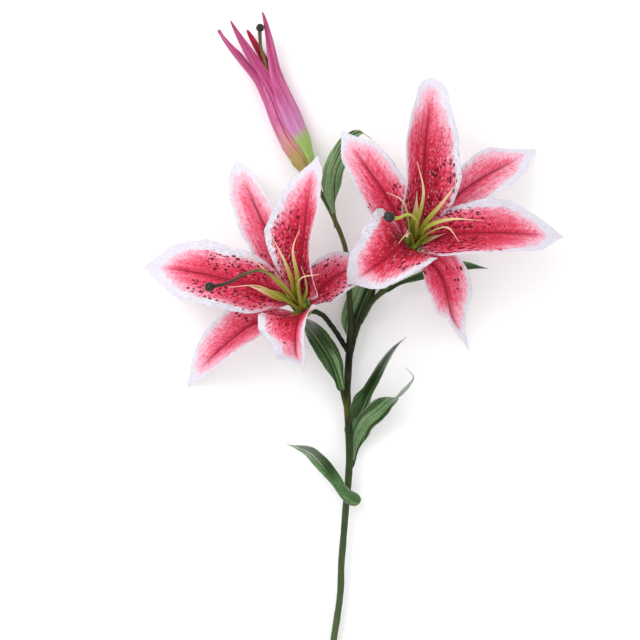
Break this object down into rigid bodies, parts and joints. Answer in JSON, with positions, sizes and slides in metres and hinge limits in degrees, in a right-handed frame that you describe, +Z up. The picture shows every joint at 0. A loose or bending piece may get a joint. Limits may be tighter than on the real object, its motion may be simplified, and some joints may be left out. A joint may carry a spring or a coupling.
{
  "type": "artificial cut lily",
  "caption": "Cut lily stem lying face up, with open pink spotted blooms edged in white, an opening bud, narrow green leaves and a moulded green stalk.",
  "frame": {"origin": "centre of the bounding box in plan, at the surface that the stem lies on", "axes": "+Y along the stem from its cut end towards the blooms and the bud, +Z up from the surface, the way the blooms face"},
  "size_m": [0.3212, 0.6064, 0.1079],
  "materials": {
    "tepal_fabric": "printed satin fabric, pink with white edges and crimson spots",
    "bud_fabric": "printed satin fabric, mauve pink with streaks",
    "leaf_fabric": "printed fabric, dark green with parallel veins and a paler underside",
    "moulded_stem": "moulded over wire, fine ribs along its length",
    "filament_plastic": "satin, olive yellow",
    "pistil_plastic": "olive style that darkens to a near black stigma"
  },
  "bodies": {
    "root": {"stem": "moulded_stem", "left_bloom_petal_north": "tepal_fabric", "left_bloom_petal_south": "tepal_fabric", "left_bloom_petal_west": "tepal_fabric", "left_bloom_pistil": "pistil_plastic", "left_bloom_sepal_east": "tepal_fabric", "left_bloom_sepal_north_west": "tepal_fabric", "left_bloom_sepal_south_west": "tepal_fabric", "left_bloom_stamens": "filament_plastic", "right_bloom_petal_east": "tepal_fabric", "right_bloom_petal_north": "tepal_fabric", "right_bloom_petal_south_west": "tepal_fabric", "right_bloom_pistil": "pistil_plastic", "right_bloom_sepal_north_east": "tepal_fabric", "right_bloom_sepal_north_west": "tepal_fabric", "right_bloom_sepal_south": "tepal_fabric", "right_bloom_stamens": "filament_plastic", "bud_petal_left": "bud_fabric", "bud_petal_right": "bud_fabric", "bud_petal_top": "bud_fabric", "bud_pistil": "pistil_plastic", "bud_sepal_left": "bud_fabric", "bud_sepal_right": "bud_fabric", "bud_sepal_under": "bud_fabric", "leaf_behind_stem": "leaf_fabric", "leaf_curled_tip": "leaf_fabric", "leaf_drooping": "leaf_fabric", "leaf_on_bud_stalk": "leaf_fabric", "leaf_under_left_bloom": "leaf_fabric", "leaf_under_right_bloom": "leaf_fabric", "leaf_upright": "leaf_fabric"}
  },
  "joints": []
}
